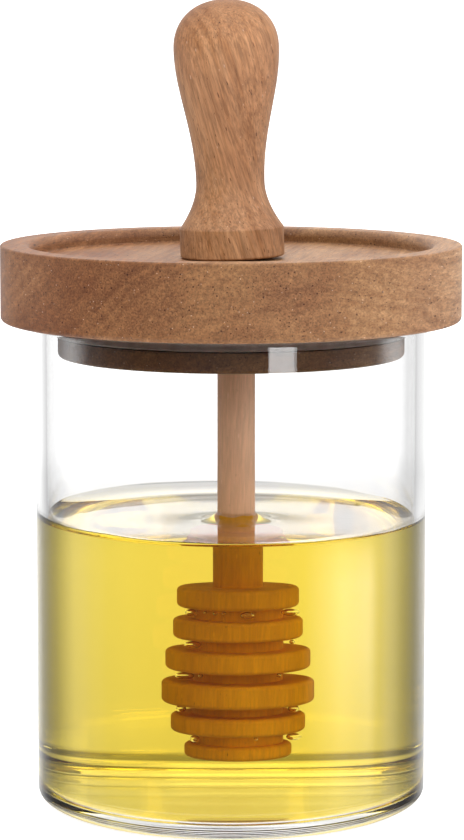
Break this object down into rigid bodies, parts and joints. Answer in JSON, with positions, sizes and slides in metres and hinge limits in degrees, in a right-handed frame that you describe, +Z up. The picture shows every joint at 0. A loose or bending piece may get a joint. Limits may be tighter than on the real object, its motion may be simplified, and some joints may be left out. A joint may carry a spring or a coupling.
{
  "type": "glass honey pot",
  "caption": "Straight clear glass jar part filled with honey, closed by a round wooden lid with a plug and seal ring, and a honey dipper hanging through the lid from its knob handle.",
  "frame": {"origin": "middle of the jar's foot, on the surface it stands on", "axes": "+Z up along the jar's axis; -Y is the side the picture shows; +X is to the right in the picture"},
  "size_m": [0.094, 0.094, 0.1648],
  "materials": {
    "clear_glass": "polished clear glass",
    "honey": "clear pale golden liquid",
    "lid_wood": "oiled, satin, fine dark pores",
    "silicone": "translucent grey silicone",
    "handle_wood": "oiled, satin, short dark pores",
    "dipper_wood": "plain turned wood, wet with honey below the surface"
  },
  "bodies": {
    "root": {"jar": "clear_glass", "honey": "honey", "lid": "lid_wood", "seal_ring": "silicone", "handle": "handle_wood", "dipper": "dipper_wood"}
  },
  "joints": []
}
